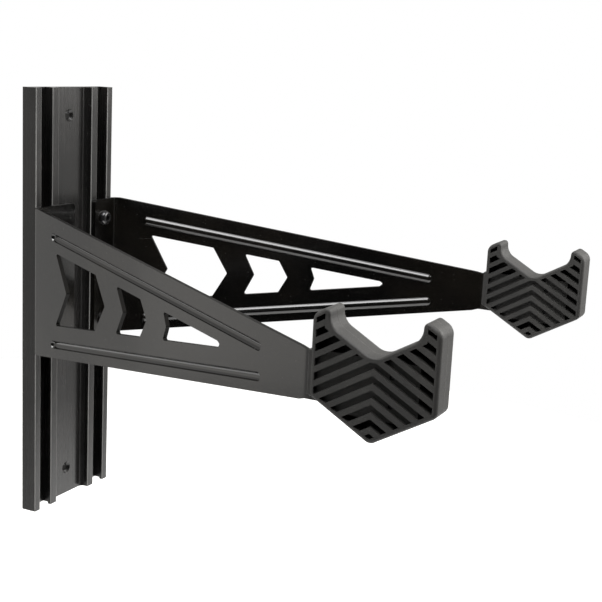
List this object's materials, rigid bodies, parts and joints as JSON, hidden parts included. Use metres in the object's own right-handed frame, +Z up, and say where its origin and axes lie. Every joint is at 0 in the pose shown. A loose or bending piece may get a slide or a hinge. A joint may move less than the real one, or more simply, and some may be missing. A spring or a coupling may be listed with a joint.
{
  "type": "bicycle wall rack",
  "caption": "Wall-held bicycle rack: slotted aluminium rail with splayed steel arms that slide up and down and carry notched rubber cradle pads for a top tube.",
  "frame": {"origin": "on the wall plane, midway between the rail's two wall holes", "axes": "+X along the wall, to the right for a person facing the rack; +Y into the wall, so the arms reach towards -Y; +Z up"},
  "size_m": [0.308, 0.3519, 0.305],
  "materials": {
    "anodised_rail": "satin black anodised",
    "arm_paint": "satin black powder coat",
    "pad_rubber": "matte moulded",
    "black_bolt": "black oxide",
    "zinc_steel": "bright zinc plate"
  },
  "bodies": {
    "rail": {"rail": "anodised_rail"},
    "left_arm_assembly": {"left_arm": "arm_paint", "left_cradle_pad": "pad_rubber", "left_upper_clamp_bolt": "black_bolt", "left_upper_t_nut": "zinc_steel", "left_upper_pad_pin": "black_bolt", "left_lower_clamp_bolt": "black_bolt", "left_lower_t_nut": "zinc_steel", "left_lower_pad_pin": "black_bolt"},
    "right_arm_assembly": {"right_arm": "arm_paint", "right_cradle_pad": "pad_rubber", "right_upper_clamp_bolt": "black_bolt", "right_upper_t_nut": "zinc_steel", "right_upper_pad_pin": "black_bolt", "right_lower_clamp_bolt": "black_bolt", "right_lower_t_nut": "zinc_steel", "right_lower_pad_pin": "black_bolt"}
  },
  "joints": [
    {"name": "left_arm_slide", "type": "slide", "parent": "rail", "child": "left_arm_assembly", "axis": [0, 0, 1], "range_m": [-0.115, 0.08]},
    {"name": "right_arm_slide", "type": "slide", "parent": "rail", "child": "right_arm_assembly", "axis": [0, 0, 1], "range_m": [-0.115, 0.08]}
  ]
}
